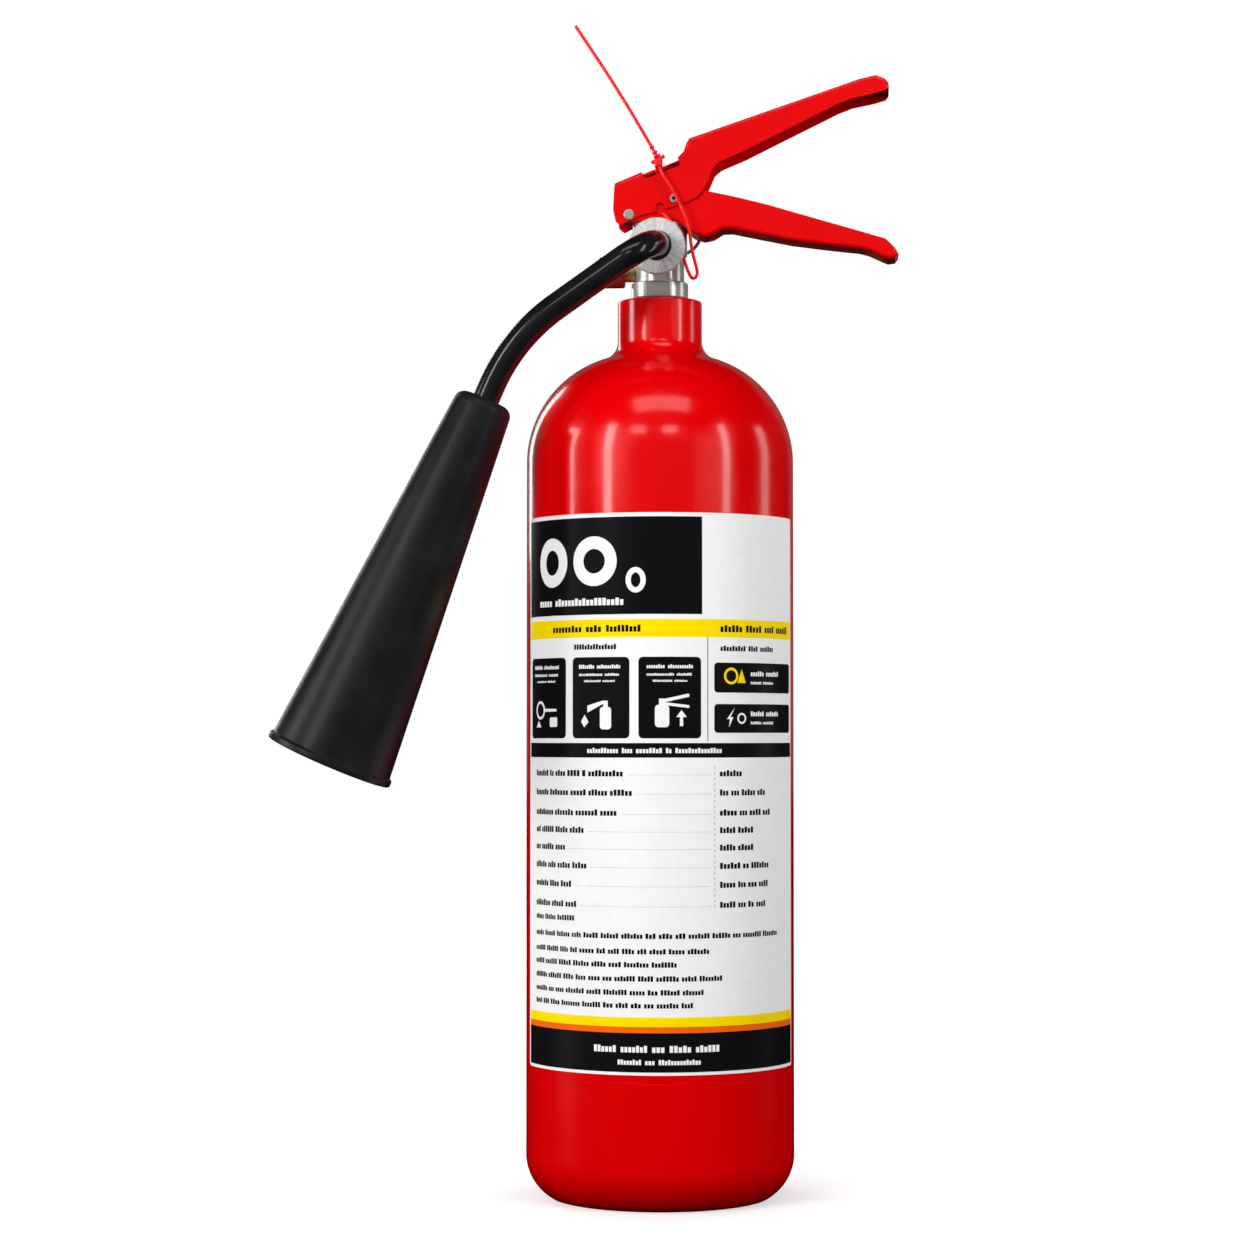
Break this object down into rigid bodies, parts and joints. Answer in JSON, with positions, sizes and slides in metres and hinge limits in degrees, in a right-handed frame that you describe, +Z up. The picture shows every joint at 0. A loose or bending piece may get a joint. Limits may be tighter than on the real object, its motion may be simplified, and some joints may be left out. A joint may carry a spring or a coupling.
{
  "type": "fire extinguisher",
  "caption": "Portable carbon dioxide fire extinguisher with steel cylinder, squeeze valve, safety pin and ring, swivelling pipe and discharge horn.",
  "frame": {"origin": "centre of the cylinder's foot, on the floor", "axes": "+Z up along the cylinder, +X along the handles, -Y towards the outlet and the label"},
  "size_m": [0.3137, 0.1487, 0.5961],
  "materials": {
    "red_paint": "gloss baked enamel",
    "label_film": "printed film",
    "rubber": "matte",
    "nickel": "satin nickel plate",
    "brass": "machined",
    "aluminium": "drawn",
    "red_cap": "moulded",
    "cast_disc": "fine textured",
    "steel": "plated",
    "red_seal": "moulded nylon",
    "black_paint": "gloss",
    "black_plastic": "satin moulded"
  },
  "bodies": {
    "cylinder": {"cylinder_shell": "red_paint", "label": "label_film", "neck_seal": "rubber", "valve_body": "nickel", "siphon_adapter": "brass", "dip_tube": "aluminium", "stem_seal": "rubber", "gland_nut": "brass", "burst_disc": "aluminium", "relief_plug": "brass", "relief_cap": "red_cap", "swivel_nut": "cast_disc", "carry_handle": "red_paint", "pivot_pin": "steel", "seal_strap": "red_seal", "seal_tail": "red_seal", "seal_lock": "red_seal"},
    "lever": {"lever": "red_paint"},
    "stem": {"valve_stem": "steel", "valve_disc": "rubber", "valve_spring": "steel"},
    "horn_assembly": {"discharge_pipe": "black_paint", "horn": "black_plastic", "horn_nozzle": "brass", "swivel_seal": "rubber", "pipe_ring": "rubber"},
    "safety_pin": {"safety_pin": "steel"},
    "pull_ring": {"pull_ring": "steel"}
  },
  "joints": [
    {"name": "lever_squeeze", "type": "hinge", "parent": "cylinder", "child": "lever", "pos_m": [-0.0149, 0, 0.4982], "axis": [0, 1, 0], "range_deg": [0, 14], "stiffness_Nm_per_rad": 4, "springref_deg": -17.19},
    {"name": "stem_press", "type": "slide", "parent": "cylinder", "child": "stem", "axis": [0, 0, -1], "range_m": [0, 0.00435], "deforming": ["valve_spring"]},
    {"name": "horn_swing", "type": "hinge", "parent": "cylinder", "child": "horn_assembly", "pos_m": [0, -0.018, 0.4805], "axis": [0, 1, 0], "range_deg": [-8, 125]},
    {"name": "safety_pin_pull", "type": "slide", "parent": "lever", "child": "safety_pin", "axis": [0, 1, 0], "range_m": [0, 0.034]},
    {"name": "ring_swing", "type": "hinge", "parent": "safety_pin", "child": "pull_ring", "pos_m": [0.00815, 0.018, 0.5061], "axis": [1, 0, 0], "range_deg": [0, 110]}
  ],
  "couplings": [
    {"joint": "stem_press", "follows": "lever_squeeze", "m_per_rad": 0.01747}
  ]
}
